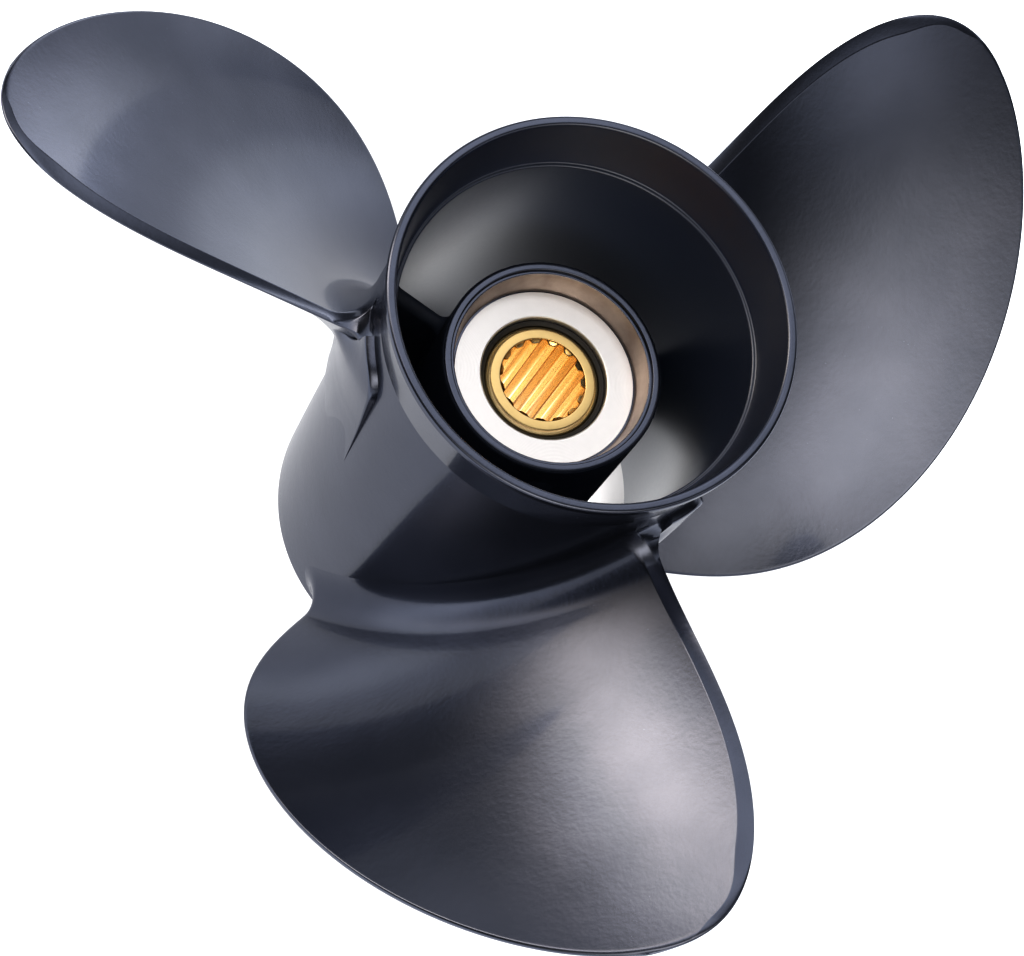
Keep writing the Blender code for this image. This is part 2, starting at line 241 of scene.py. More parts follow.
# Colours of each surface where its noise is at NOISE_ENDS, and roughness where it is 0 and 1.
# TURNING_MARKS is the wave of the marks on turned metal, in radians to a metre.
NOISE_ENDS = (0.3, 0.7)
PAINT_COLOURS = ((0.0415, 0.0485, 0.073), (0.055, 0.0625, 0.091))
PAINT_ROUGHNESS = (0.22, 0.29)
# The rough casting is coloured darker than the paint, as painted shade on the tube and ribs down
# in the barrel.
CAST_SHADE_COLOURS = ((0.016, 0.021, 0.036), (0.024, 0.031, 0.050))
CAST_ROUGHNESS = (0.55, 0.70)
TURNED_COLOURS = ((0.60, 0.585, 0.585), (0.65, 0.635, 0.635))
TURNED_ROUGHNESS = (0.34, 0.44)
# The worn bare metal is tinted brown, a painted reflection.
WORN_AND_REFLECTION_COLOURS = ((0.36, 0.29, 0.26), (0.55, 0.47, 0.43))
WORN_ROUGHNESS = (0.38, 0.52)
# The brass face's colours are a darker copy of the brass, as painted shade.
BRASS_FACE_SHADE_COLOURS = ((0.46, 0.34, 0.16), (0.52, 0.39, 0.19))
BRASS_FACE_ROUGHNESS = (0.30, 0.38)
RUBBER_COLOURS = ((0.006, 0.005, 0.005), (0.014, 0.011, 0.010))
RUBBER_ROUGHNESS = (0.5, 0.7)
FLOOR_COLOURS = ((0.20, 0.20, 0.20), (0.22, 0.22, 0.22))
TURNING_MARKS = 16000.0

# The paint inside the barrel is its own copy of the paint, coloured with painted shade that
# darkens with height.
INSIDE_SHADE_HEIGHTS = (60.0 * MM, 150.0 * MM)
INSIDE_SHADE_COLOURS = [
    (0.0, (0.048, 0.066, 0.126)),
    (0.45, (0.036, 0.050, 0.098)),
    (1.0, (0.012, 0.017, 0.036)),
]
INSIDE_ROUGHNESS = (0.32, 0.40)

# The brass darkens from the tips of the teeth to their roots, a painted shade in the grooves, and
# is bright on the lead-in.
BRASS_GROOVE_SHADE_RADII = (SPLINE_TIP_R + 0.1 * MM, SPLINE_ROOT_R + 0.8 * MM)
BRASS_GROOVE_SHADE_COLOURS = [
    (0.0, (1.0, 0.82, 0.46)),
    (0.25, (0.88, 0.60, 0.24)),
    (0.5, (0.70, 0.42, 0.14)),
    (1.0, (1.0, 0.80, 0.44)),
]
BRASS_ROUGHNESS = (0.14, 0.22)

# How finely the meshes are made.
ROUND_STEPS = 240
BUSH_STEPS = 160
BARREL_RINGS = 14
CORNER_ARC_DEG = 15
CORNER_REACH = 0.45
CORNER_GUARD = 0.25 * MM
GUARD_SHARE = 0.3
GUARD_LEAST = 0.05 * MM
MERGE_DISTANCE = 0.002 * MM
RIB_STATIONS = 25
RIB_END_STEPS = 8
TOOTH_STEPS = 16
CHORD_STEPS = 56
SPAN_STEPS = 64
FILLET_STEPS = 12
FILLET_SMOOTHING = 6
HEIGHT_ROUNDS = 12
NORMAL_STEP = 1e-3
NORMAL_SPAN = 0.99
FIRST_SPAN, LAST_ROOT_SPAN = 0.05, 0.6
EDGE_INSETS = (0.0, 0.0011, 0.0028, 0.0052, 0.0085, 0.014)
BEVEL_PLACE = 0.96
BEVEL_COLUMNS = (1.0, 0.998, 0.994, 0.987, 0.975, 0.963, 0.96, 0.957, 0.95)
PAD_CORNER_STEPS = 12

# Places in the turned pieces' lists of materials: the barrel has paint, turned metal and the
# paint inside it with painted shade, and the tube has paint, turned metal, worn metal with a
# painted brown reflection, and rough casting darkened as painted shade.
PAINTED, MACHINED = 0, 1
INSIDE = 2
WORN, ROUGH = 2, 3
RUBBER = 0


# Meshes


def new_object(name, verts, faces, materials, face_materials=None, sharp_angle=35.0):
    mesh = bpy.data.meshes.new(name)
    mesh.from_pydata([tuple(v) for v in verts], [], [tuple(f) for f in faces])
    for item in materials:
        mesh.materials.append(item)
    if face_materials is not None:
        mesh.polygons.foreach_set("material_index", face_materials)
    mesh.validate()
    mesh.shade_smooth()
    mesh.set_sharp_from_angle(angle=math.radians(sharp_angle))
    obj = bpy.data.objects.new(name, mesh)
    bpy.context.scene.collection.objects.link(obj)
    return obj


def merge(obj):
    """Join the vertices that meet, and point all faces outwards."""
    bm = bmesh.new()
    bm.from_mesh(obj.data)
    bmesh.ops.remove_doubles(bm, verts=bm.verts, dist=MERGE_DISTANCE)
    bmesh.ops.recalc_face_normals(bm, faces=bm.faces)
    bm.to_mesh(obj.data)
    bm.free()


def grid_faces(rows, columns, wrap_rows=False, wrap_columns=False, flip=False):
    """Quads over a rows x columns grid of vertices numbered row by row."""
    faces = []
    for i in range(rows if wrap_rows else rows - 1):
        for j in range(columns if wrap_columns else columns - 1):
            a = i * columns + j
            b = i * columns + (j + 1) % columns
            c = ((i + 1) % rows) * columns + (j + 1) % columns
            d = ((i + 1) % rows) * columns + j
            faces.append((d, c, b, a) if flip else (a, b, c, d))
    return faces


def lofted(name, rows, material, sharp_angle, capped=True):
    """A skin over closed rows of points, with a face across each end if capped."""
    columns = len(rows[0])
    verts = [v for row in rows for v in row]
    faces = grid_faces(len(rows), columns, wrap_columns=True)
    if capped:
        faces.append(tuple(range(columns - 1, -1, -1)))
        faces.append(tuple((len(rows) - 1) * columns + k for k in range(columns)))
    obj = new_object(name, verts, faces, [material], sharp_angle=sharp_angle)
    merge(obj)
    return obj


def turn_to_place(obj, number, count, lag=0.0):
    """Turn one of count equal pieces about the shaft axis to where it belongs."""
    angle = BLADE_ANGLE + lag + number * math.tau / count
    obj.data.transform(Matrix.Rotation(angle, 4, "Z"))


def around_axis(radius, angle, z):
    return np.stack([radius * np.cos(angle), radius * np.sin(angle), z], -1)


def unit(vector):
    return vector / np.linalg.norm(vector)


def rotated(vector, angle):
    c, s = math.cos(angle), math.sin(angle)
    return np.array((c * vector[0] - s * vector[1], s * vector[0] + c * vector[1]))


def smooth_step(value, low, high):
    t = np.clip((value - low) / (high - low), 0.0, 1.0)
    return t * t * (3 - 2 * t)


def rounded_outline(corners):
    """A closed outline from corners (radius, z, rounding, finish).

    Each corner is rounded with an arc, guarded by a point on either side so that flat faces
    stay flat in shading. finish is that of the stretch from this corner to the next.
    """
    points = []
    for i, (r, z, rounding, finish) in enumerate(corners):
        here = np.array((r, z))
        if rounding <= 0:
            points.append((here, finish))
            continue
        previous_finish = corners[i - 1][3]
        before = np.array(corners[i - 1][:2]) - here
        after = np.array(corners[(i + 1) % len(corners)][:2]) - here
        u, v = unit(before), unit(after)
        half = math.acos(max(-1.0, min(1.0, float(u @ v)))) / 2
        longest = CORNER_REACH * min(np.linalg.norm(before), np.linalg.norm(after))
        reach = min(rounding / math.tan(half), longest)
        radius = reach * math.tan(half)
        centre = here + unit(u + v) * (radius / math.sin(half))
        start = here + u * reach - centre
        sweep = math.pi - 2 * half
        turn = np.sign(u[0] * v[1] - u[1] * v[0])
        steps = max(3, int(math.ceil(math.degrees(sweep) / CORNER_ARC_DEG)))
        guard = min(CORNER_GUARD, GUARD_SHARE * reach + GUARD_LEAST)
        points.append((here + u * (reach + guard), previous_finish))
        for k in range(steps + 1):
            spot = centre + rotated(start, -turn * sweep * k / steps)
            points.append((spot, previous_finish if k < steps / 2 else finish))
        points.append((here + v * (reach + guard), finish))
    return points


def turned(name, corners, materials, steps=ROUND_STEPS):
    """A ring spun about the shaft axis from a rounded outline."""
    outline = rounded_outline(corners)
    angles = np.linspace(0, math.tau, steps, endpoint=False)
    verts = []
    for (r, z), _ in outline:
        for a in angles:
            verts.append((r * math.cos(a), r * math.sin(a), z))
    faces = grid_faces(len(outline), steps, wrap_rows=True, wrap_columns=True, flip=True)
    tags = []
    for _, finish in outline:
        tags += [finish] * steps
    obj = new_object(name, verts, faces, materials, tags)
    merge(obj)
    return obj


# Barrel and hub


def barrel_radius(z):
    """Outer radius of the barrel: it widens aft in a slight bow."""
    t = np.clip(np.asarray(z) / (HUB_LENGTH - FLARE_DEPTH), 0.0, 1.0)
    return BARREL_FORWARD_R + (BARREL_AFT_R - BARREL_FORWARD_R) * t + BARREL_BOW * 4 * t * (1 - t)


def barrel_bore(z):
    t = z / (HUB_LENGTH - FLARE_DEPTH)
    return BARREL_FORWARD_BORE_R + (BARREL_AFT_BORE_R - BARREL_FORWARD_BORE_R) * t


def barrel_corners():
    foot = HUB_LENGTH - FLARE_DEPTH
    ledge = HUB_LENGTH - FLARE_STEP_DEPTH
    heights = [foot * i / BARREL_RINGS for i in range(1, BARREL_RINGS)]
    return [
        (barrel_bore(COUNTERBORE_DEPTH), COUNTERBORE_DEPTH, 0.3 * MM, MACHINED),
        (COUNTERBORE_R, COUNTERBORE_DEPTH, 0.2 * MM, MACHINED),
        (COUNTERBORE_R, 0.0, 0.4 * MM, PAINTED),
        (BARREL_FORWARD_R, 0.0, 0.9 * MM, PAINTED),
        *[(float(barrel_radius(z)), z, 0.0, PAINTED) for z in heights],
        (BARREL_AFT_R, foot, 0.5 * MM, PAINTED),
        (RIM_R, HUB_LENGTH - RIM_BAND, 1.2 * MM, PAINTED),
        (RIM_R, HUB_LENGTH, 0.9 * MM, PAINTED),
        (RIM_BORE_R, HUB_LENGTH, 0.9 * MM, INSIDE),
        (FLARE_FOOT_BORE_R, ledge, 0.5 * MM, INSIDE),
        (BARREL_AFT_BORE_R - FLARE_LEDGE_SLOPE, ledge, 0.6 * MM, INSIDE),
    ]


def tube_corners():
    lip_z = NUT_SEAT_Z - LIP_THICKNESS
    step_r, step_z = NUT_RECESS_R + TUBE_STEP, TUBE_AFT_Z - TUBE_STEP
    groove_r, groove_z = NUT_RECESS_FLOOR_R - SEAT_GROOVE, NUT_SEAT_Z - SEAT_GROOVE
    return [
        (BUSH_BORE_R, TUBE_FORWARD_Z, 0.5 * MM, PAINTED),
        (TUBE_R, TUBE_FORWARD_Z, 1.0 * MM, ROUGH),
        (TUBE_R, TUBE_AFT_Z, 1.1 * MM, PAINTED),
        (step_r, TUBE_AFT_Z, 0.4 * MM, PAINTED),
        (step_r - TUBE_STEP_SLOPE, step_z, 0.0, PAINTED),
        (NUT_RECESS_R, step_z, 0.4 * MM, WORN),
        (NUT_RECESS_FLOOR_R, groove_z, 0.0, PAINTED),
        (groove_r, groove_z, 0.0, PAINTED),
        (groove_r, NUT_SEAT_Z, 0.1 * MM, MACHINED),
        (LIP_BORE_R, NUT_SEAT_Z, 0.5 * MM, MACHINED),
        (LIP_BORE_R, lip_z, 0.3 * MM, MACHINED),
        (BUSH_BORE_R, lip_z, 0.3 * MM, PAINTED),
    ]


def bush_corners():
    lip_z = NUT_SEAT_Z - LIP_THICKNESS - BUSH_GAP
    inner = SLEEVE_R + BUSH_SLEEVE_GAP
    neck = LIP_BORE_R - BUSH_NECK_GAP
    body = BUSH_BORE_R - BUSH_GAP
    return [
        (inner, RUBBER_FORWARD_Z, 0.4 * MM, RUBBER),
        (body, RUBBER_FORWARD_Z, 1.0 * MM, RUBBER),
        (body, lip_z, 0.8 * MM, RUBBER),
        (neck, lip_z, 0.3 * MM, RUBBER),
        (neck, RUBBER_AFT_Z, 0.4 * MM, RUBBER),
        (inner, RUBBER_AFT_Z - BUSH_END_SLOPE, 0.2 * MM, RUBBER),
    ]


def rib(number, material):
    """A web from the tube to the barrel wall, with round ends and a fillet at each root."""
    half = RIB_THICKNESS / 2
    at_tube, at_wall = RIB_HIDDEN_AFT_Z if number else (RIB_AFT_Z, RIB_AFT_Z)
    inner, outer = TUBE_R - RIB_SINK, barrel_bore(at_wall) + RIB_SINK
    rows = []
    for i in range(RIB_STATIONS):
        t = (1 - math.cos(math.pi * i / (RIB_STATIONS - 1))) / 2
        x = inner + (outer - inner) * t
        rest = max(0.0, 1 - min(x - inner, outer - x) / RIB_FILLET)
        swell = RIB_FILLET * (1 - math.sqrt(max(0.0, 1 - rest * rest)))
        aft_end = at_tube + (at_wall - at_tube) * t + RIB_END_FILLET * swell
        forward_end = RIB_FORWARD_Z - RIB_END_FILLET * swell
        row = []
        for end, tip in ((1, aft_end), (-1, forward_end)):
            for k in range(RIB_END_STEPS + 1):
                a = math.pi * k / RIB_END_STEPS
                y = end * (half + swell) * math.cos(a)
                z = tip - end * (half - half * math.sin(a))
                row.append((x - y * y / (2 * x), y, z))
        rows.append(row)
    obj = lofted(f"rib_web_{number + 1}", rows, material, sharp_angle=35.0)
    turn_to_place(obj, number, RIB_COUNT, RIB_LAG)
    return obj


def spline_outline():
    """Angles and radii round the teeth, whose tips and flanks are rounded."""
    teeth = np.arange(SPLINE_TEETH * TOOTH_STEPS) / TOOTH_STEPS
    swing = np.cos(math.tau * (teeth % 1))
    lift = 1 / (1 + np.exp(-TOOTH_STEEPNESS * (swing + TOOTH_FULLNESS)))
    radii = SPLINE_ROOT_R + (SPLINE_TIP_R - SPLINE_ROOT_R) * lift
    return teeth * (math.tau / SPLINE_TEETH), radii


def sleeve(materials):
    """Brass sleeve with internal teeth, run out by a lead-in at its aft end."""
    angles, teeth = spline_outline()
    aft = SLEEVE_AFT_Z
    rings = [(SLEEVE_R, SLEEVE_FORWARD_Z + SLEEVE_END)]
    rings += [(SLEEVE_R - inset * MM, aft - depth * MM) for inset, depth in SLEEVE_SHOULDER]
    rings += [(MOUTH_R + out * MM, aft - depth * MM) for out, depth in SLEEVE_MOUTH]
    for share in LEAD_IN:
        cone = MOUTH_R + (SPLINE_TIP_R - MOUTH_R) * share
        rings.append((np.maximum(teeth, cone), aft - LEAD_IN_START - LEAD_IN_DEPTH * share))
    rings.append((teeth, aft - TEETH_START))
    rings.append((teeth, SLEEVE_FORWARD_Z + SLEEVE_END))
    rings.append((MOUTH_R, SLEEVE_FORWARD_Z))
    rings.append((SLEEVE_R - SLEEVE_END, SLEEVE_FORWARD_Z))
    verts = []
    for radius, z in rings:
        for r, a in zip(np.broadcast_to(radius, angles.shape), angles):
            verts.append((r * math.cos(a), r * math.sin(a), z))
    faces = grid_faces(len(rings), len(angles), wrap_rows=True, wrap_columns=True)
    tags = []
    for i in range(len(rings)):
        tags += [1 if i in SLEEVE_FACE_RINGS else 0] * len(angles)
    obj = new_object("brass_sleeve", verts, faces, materials, tags, sharp_angle=50.0)
    merge(obj)
    return obj


# Blades


def through(values, t):
    """The smooth curve through values set at even steps from t = 0 to t = 1."""
    last = len(values) - 1
    total = 0.0
    for i, value in enumerate(values):
        weight = 1.0
        for j in range(len(values)):
            if j != i:
                weight = weight * (t * last - j) / (i - j)
        total = total + weight * value
    return total


def helicoid(span, across):
    """Pressure face: span 0 (root) to 1 (tip), across -1 (leading) to 1 (trailing)."""
    radius = BLADE_ROOT_R + (BLADE_TIP_R - BLADE_ROOT_R) * span
    half = through(BLADE_HALF_CHORD, span) * np.sqrt(np.maximum(1 - span * span, 0.0))
    turn = across * half / radius
    z = through(BLADE_MID_Z, span) + turn * through(BLADE_PITCH, span) / math.tau
    return around_axis(radius, through(BLADE_SKEW, span) + turn, z)


def helicoid_normal(span, across):
    """Unit normal of the pressure face, pointing forward into the blade."""
    d = NORMAL_STEP
    span = np.minimum(span, NORMAL_SPAN)
    across = np.clip(across, d - 1, 1 - d)
    along = helicoid(span + d, across) - helicoid(span - d, across)
    chordwise = helicoid(span, across + d) - helicoid(span, across - d)
    normal = np.cross(along, chordwise)
    normal /= np.linalg.norm(normal, axis=-1, keepdims=True)
    return np.where(normal[..., 2:] > 0, -normal, normal)


def blade_thickness(span, across):
    inward = np.maximum(1 - span, 0.0) ** BLADE_THINNING
    middle = BLADE_TIP_THICKNESS + (BLADE_ROOT_THICKNESS - BLADE_TIP_THICKNESS) * inward
    added = (TRAILING_EDGE_THICKNESS - BLADE_EDGE_THICKNESS) * (1 + across) / 2 * (1 - span**4)
    edge = BLADE_EDGE_THICKNESS + added
    return edge + (middle - edge) * (1 - across * across)


def bevel_share(span):
    """How much of the bevel's width is left: half of it near the tip, and none at the tip."""
    left = 1.0
    for loss, stretch in zip(BEVEL_LOSSES, BEVEL_LOSS_SPANS):
        left = left - loss * smooth_step(span, *stretch)
    return left


def chord_place(column, span):
    """Where a column lies across the blade: the one at BEVEL_PLACE keeps to the bevel's line."""
    kept = 1 - BEVEL_WIDTH * bevel_share(span) / through(BLADE_HALF_CHORD, span)
    inside_tip = np.maximum(1 - span * span, 1e-6)
    line = np.sqrt(np.maximum(1 - (1 - kept * kept) / inside_tip, BEVEL_INNERMOST**2))
    beyond = 1 - (1 - column) / (1 - BEVEL_PLACE) * (1 - line)
    before = (column + 1) / (BEVEL_PLACE + 1) * (line + 1) - 1
    return np.where(column > BEVEL_PLACE, beyond, before)


def edge_fill(inset, radius):
    """Share of full thickness this far in from an edge with that rounding."""
    rest = 1 - np.clip(inset / radius, 0.0, 1.0)
    return (1 - rest**BLADE_EDGE_POWER) ** (1 / BLADE_EDGE_POWER)


def blade_point(span, column, side):
    """A point on the face named by side: -1 pressure, 1 suction. Both meet at the edge."""
    span = np.clip(span, 0.0, 1.0)
    across = chord_place(column, span)
    full = blade_thickness(span, across)
    from_centre = np.sqrt(across**2 * (1 - span**2) + span**2)
    inset = through(BLADE_HALF_CHORD, span) * (1 - from_centre)
    plain = full / 2 * (1 + side * edge_fill(inset, BLADE_EDGE_ROUND))
    depth = full - BEVEL_EDGE_LEFT
    width = np.maximum(BEVEL_WIDTH * bevel_share(span), BEVEL_LEAST_WIDTH)
    cut = depth * np.clip(1 - inset / width, 0.0, 1.0)
    back = depth + BEVEL_EDGE_LEFT * edge_fill(inset, BEVEL_EDGE_ROUND)
    beveled = np.where(np.asarray(side) < 0, cut, back)
    share = bevel_share(span) * smooth_step(across, *BEVEL_SIDE)
    lift = plain + (beveled - plain) * share
    return helicoid(span, across) + helicoid_normal(span, across) * lift[..., None]


def span_at_height(height, across, side):
    """The span at which that face stands this far above the barrel."""
    span = np.full(np.broadcast(height, across).shape, FIRST_SPAN)
    for _ in range(HEIGHT_ROUNDS):
        point = blade_point(span, across, side)
        short = barrel_radius(point[..., 2]) + height - np.hypot(point[..., 0], point[..., 1])
        span = np.clip(span + short / (BLADE_TIP_R - BLADE_ROOT_R), 0.0, LAST_ROOT_SPAN)
    return span


def blade_contour():
    """Chord places and faces round the closed blade section, from the leading edge."""
    start, end = -1 + EDGE_INSETS[-1], BEVEL_COLUMNS[-1]
    share = (1 - np.cos(np.pi * np.arange(1, CHORD_STEPS) / CHORD_STEPS)) / 2
    leading = [-1 + inset for inset in EDGE_INSETS]
    across = np.concatenate([leading, start + (end - start) * share, BEVEL_COLUMNS[::-1]])
    places = np.concatenate([across, across[-2:0:-1]])
    sides = np.concatenate([np.full(len(across), -1.0), np.full(len(across) - 2, 1.0)])
    return places, sides


def fillet_radii(places, sides):
    trailing = (places + 1) / 2
    pressure = PRESSURE_FILLET[0] + (PRESSURE_FILLET[1] - PRESSURE_FILLET[0]) * trailing
    suction = SUCTION_FILLET[0] + (SUCTION_FILLET[1] - SUCTION_FILLET[0]) * trailing
    radii = np.where(sides < 0, pressure, suction)
    for _ in range(FILLET_SMOOTHING):
        radii = (np.roll(radii, 1) + 2 * radii + np.roll(radii, -1)) / 4
    return radii


def fillet_directions(foot):
    """Unit directions away from the section along the barrel, as (circumferential, axial)."""
    angle = np.unwrap(np.arctan2(foot[:, 1], foot[:, 0]))
    flat = np.stack([angle * np.hypot(foot[:, 0], foot[:, 1]), foot[:, 2]], -1)
    tangent = np.roll(flat, -1, 0) - np.roll(flat, 1, 0)
    outward = np.stack([tangent[:, 1], -tangent[:, 0]], -1)
    outward /= np.linalg.norm(outward, axis=1, keepdims=True)
    if ((flat - flat.mean(0)) * outward).sum() < 0:
        outward = -outward
    return outward


def blade(number, material):
    """One blade: its root fillet in rows up from the barrel, then rows out to the tip."""
    places, sides = blade_contour()
    fillet = fillet_radii(places, sides)
    foot = blade_point(span_at_height(np.zeros(len(places)), places, sides), places, sides)
    outward = fillet_directions(foot)
    rows = []
    for i in range(FILLET_STEPS + 1):
        a = math.pi / 2 * i / FILLET_STEPS
        height = fillet * (1 - math.cos(a))
        reach = fillet * (1 - math.sin(a))
        span = span_at_height(height, places, sides)
        point = blade_point(span, places, sides)
        z = point[:, 2] + outward[:, 1] * reach
        radius = barrel_radius(z) + height
        angle = np.arctan2(point[:, 1], point[:, 0]) + outward[:, 0] * reach / radius
        if i == 0:
            radius = radius - SKIN_SINK
        rows.append(around_axis(radius, angle, z))
    for i in range(1, SPAN_STEPS + 1):
        share = math.sin(math.pi / 2 * i / SPAN_STEPS)
        rows.append(blade_point(span + (1 - span) * share, places, sides))
    obj = lofted(f"blade_skin_{number + 1}", rows, material, sharp_angle=60.0, capped=False)
    turn_to_place(obj, number, BLADE_COUNT)
    return obj


def pad_edge():
    """The pad's edge unrolled on the barrel: straight, round the corner, then forward."""
    unroll = float(barrel_radius(PAD_CORNER[1]))
    start, corner, end = (np.array((a * unroll, z)) for a, z in (PAD_START, PAD_CORNER, PAD_END))
    u, v = unit(start - corner), unit(end - corner)
    half = math.acos(float(u @ v)) / 2
    reach = PAD_CORNER_R / math.tan(half)
    centre = corner + unit(u + v) * PAD_CORNER_R / math.sin(half)
    before, after = corner + u * reach, corner + v * reach
    steps = PAD_CORNER_STEPS
    spots = [start + (before - start) * t for t in np.linspace(0, 1, steps // 2, endpoint=False)]
    sweep = math.pi - 2 * half
    spots += [centre + rotated(before - centre, -sweep * k / steps) for k in range(steps)]
    spots += [after + (end - after) * t for t in np.linspace(0, 1, 2 * steps)]
    return np.array(spots), unroll


def pad_section(lift, rise, length):
    """Points round one section of the pad, as (way in from its edge, height)."""
    section = [(0.0, -PAD_SINK), (0.0, 0.0)]
    section += [(inset * lift, height * lift) for inset, height in PAD_EDGE_SECTION]
    section += [(length * t, lift + rise * (1 - math.sqrt(1 - t * t))) for t in PAD_TOP]
    return section + [(length * t, -PAD_SINK) for t in PAD_BASE]


def root_pad(number, material):
    """Raised ledge that the casting die leaves between the suction side and the barrel."""
    edge, unroll = pad_edge()
    run = np.concatenate([[0.0], np.cumsum(np.linalg.norm(np.diff(edge, axis=0), axis=1))])
    run /= run[-1]
    aft = smooth_step(edge[:, 1], *PAD_LIFT_HEIGHTS)
    lift = PAD_RIDGE_LIFT + (PAD_LIFT - PAD_RIDGE_LIFT) * aft
    lift = lift * np.clip((1 - run) / PAD_RUN_OUT, 0.0, 1.0) + PAD_LEAST_LIFT
    rise = PAD_RISE * smooth_step(run, 0.0, PAD_RISE_RUN)
    turn = BLADE_HALF_CHORD[0] / BLADE_ROOT_R * (PAD_INNER_START - PAD_INNER_LENGTH * run)
    inner_z = BLADE_MID_Z[0] + turn * BLADE_PITCH[0] / math.tau - PAD_INNER_DROP
    inner = np.stack([(turn + PAD_INNER_TURN) * unroll, inner_z], -1)
    rows = []
    for k, spot in enumerate(edge):
        length = np.linalg.norm(inner[k] - spot)
        toward = unit(inner[k] - spot)
        row = []
        for inset, height in pad_section(lift[k], rise[k], length):
            u, z = spot + toward * inset
            row.append(around_axis(float(barrel_radius(z)) + height, u / unroll, z))
        rows.append(row)
    obj = lofted(f"root_pad_{number + 1}", rows, material, sharp_angle=50.0)
    turn_to_place(obj, number, BLADE_COUNT)
    return obj


# Shader nodes


def node_material(name):
    """A new material, with its nodes, links and shader, and the place on the object."""
    made = bpy.data.materials.new(name)
    made.use_nodes = True
    nodes, links = made.node_tree.nodes, made.node_tree.links
    shader = nodes["Principled BSDF"]
    coords = nodes.new("ShaderNodeTexCoord")
    return made, nodes, links, shader, coords.outputs["Object"]


def operate(kind, nodes, links, operation, values):
    """A node that works on sockets and plain values, given in the order of its inputs."""
    made = nodes.new(kind)
    made.operation = operation
    for socket, value in zip(made.inputs, values):
        if isinstance(value, bpy.types.NodeSocket):
            links.new(value, socket)
        else:
            socket.default_value = value
    return made.outputs


def math_node(nodes, links, operation, *values):
    return operate("ShaderNodeMath", nodes, links, operation, values)["Value"]


def measure_node(nodes, links, operation, *values):
    """The number that a vector operation gives, such as a length."""
    return operate("ShaderNodeVectorMath", nodes, links, operation, values)["Value"]


def vector_node(nodes, links, operation, *values):
    return operate("ShaderNodeVectorMath", nodes, links, operation, values)["Vector"]


def separate(nodes, links, vector):
    split = nodes.new("ShaderNodeSeparateXYZ")
    links.new(vector, split.inputs["Vector"])
    return split.outputs["X"], split.outputs["Y"], split.outputs["Z"]


def from_axis(nodes, links, where):
    """Distance from the shaft axis, and height along it."""
    x, y, z = separate(nodes, links, where)
    flat = nodes.new("ShaderNodeCombineXYZ")
    links.new(x, flat.inputs["X"])
    links.new(y, flat.inputs["Y"])
    return measure_node(nodes, links, "LENGTH", flat.outputs["Vector"]), z


def noise(nodes, links, vector, scale, detail=2.0, roughness=0.5):
    made = nodes.new("ShaderNodeTexNoise")
    made.inputs["Scale"].default_value = scale
    made.inputs["Detail"].default_value = detail
    made.inputs["Roughness"].default_value = roughness
    links.new(vector, made.inputs["Vector"])
    return made.outputs["Fac"]


def ramp(nodes, links, value, stops):
    made = nodes.new("ShaderNodeValToRGB")
    elements = made.color_ramp.elements
    elements[0].position, elements[0].color = stops[0][0], (*stops[0][1], 1.0)
    elements[1].position, elements[1].color = stops[-1][0], (*stops[-1][1], 1.0)
    for position, colour in stops[1:-1]:
        elements.new(position).color = (*colour, 1.0)
    links.new(value, made.inputs["Fac"])
    return made.outputs["Color"]


def spread(nodes, links, value, low, high):
    """Low where the value is 0, high where it is 1."""
    made = nodes.new("ShaderNodeMapRange")
    made.inputs["To Min"].default_value = low
    made.inputs["To Max"].default_value = high
    links.new(value, made.inputs["Value"])
    return made.outputs["Result"]


def step(nodes, links, value, low, high):
    """0 where the value is low, 1 where it is high."""
    made = nodes.new("ShaderNodeMapRange")
    made.inputs["From Min"].default_value = low
    made.inputs["From Max"].default_value = high
    links.new(value, made.inputs["Value"])
    return made.outputs["Result"]


def bump(nodes, links, height, strength, distance, normal=None):
    made = nodes.new("ShaderNodeBump")
    made.inputs["Strength"].default_value = strength
    made.inputs["Distance"].default_value = distance
    links.new(height, made.inputs["Height"])
    if normal is not None:
        links.new(normal, made.inputs["Normal"])
    return made.outputs["Normal"]


def colour_by(nodes, links, shader, value, colours):
    """Base colour that goes from the first to the second as a noise rises."""
    colour = ramp(nodes, links, value, list(zip(NOISE_ENDS, colours)))
    links.new(colour, shader.inputs["Base Color"])


def roughness_by(nodes, links, shader, value, ends):
    links.new(spread(nodes, links, value, *ends), shader.inputs["Roughness"])


def set_shader(shader, **values):
    """Set sockets that are the same all over the surface, named with _ for each space."""
    for name, value in values.items():
        shader.inputs[name.replace("_", " ")].default_value = value


# Materials


def paint_material():
    made, nodes, links, shader, where = node_material("blue_grey_paint")
    clouds = noise(nodes, links, where, scale=38.0, detail=3.0)
    colour_by(nodes, links, shader, clouds, PAINT_COLOURS)
    speck = noise(nodes, links, where, scale=1400.0)
    roughness_by(nodes, links, shader, speck, PAINT_ROUGHNESS)
    peel = noise(nodes, links, where, scale=620.0, roughness=0.6)
    wave = noise(nodes, links, where, scale=55.0)
    normal = bump(nodes, links, peel, strength=0.10, distance=0.4 * MM)
    normal = bump(nodes, links, wave, strength=0.05, distance=2.0 * MM, normal=normal)
    links.new(normal, shader.inputs["Normal"])
    set_shader(shader, Metallic=0.93, Specular_Tint=(0.60, 0.61, 0.65, 1.0))
    set_shader(shader, Coat_Weight=0.34, Coat_Roughness=0.08)
    return made


def inside_material():
    made, nodes, links, shader, where = node_material("inside_paint_painted_shade")
    _, height = from_axis(nodes, links, where)
    # Painted shade: the inside paint darkens with height.
    colour = ramp(nodes, links, step(nodes, links, height, *INSIDE_SHADE_HEIGHTS), INSIDE_SHADE_COLOURS)
    links.new(colour, shader.inputs["Base Color"])
    speck = noise(nodes, links, where, scale=900.0)
    roughness_by(nodes, links, shader, speck, INSIDE_ROUGHNESS)
    set_shader(shader, Metallic=0.3, Coat_Weight=0.5, Coat_Roughness=0.28)
    return made


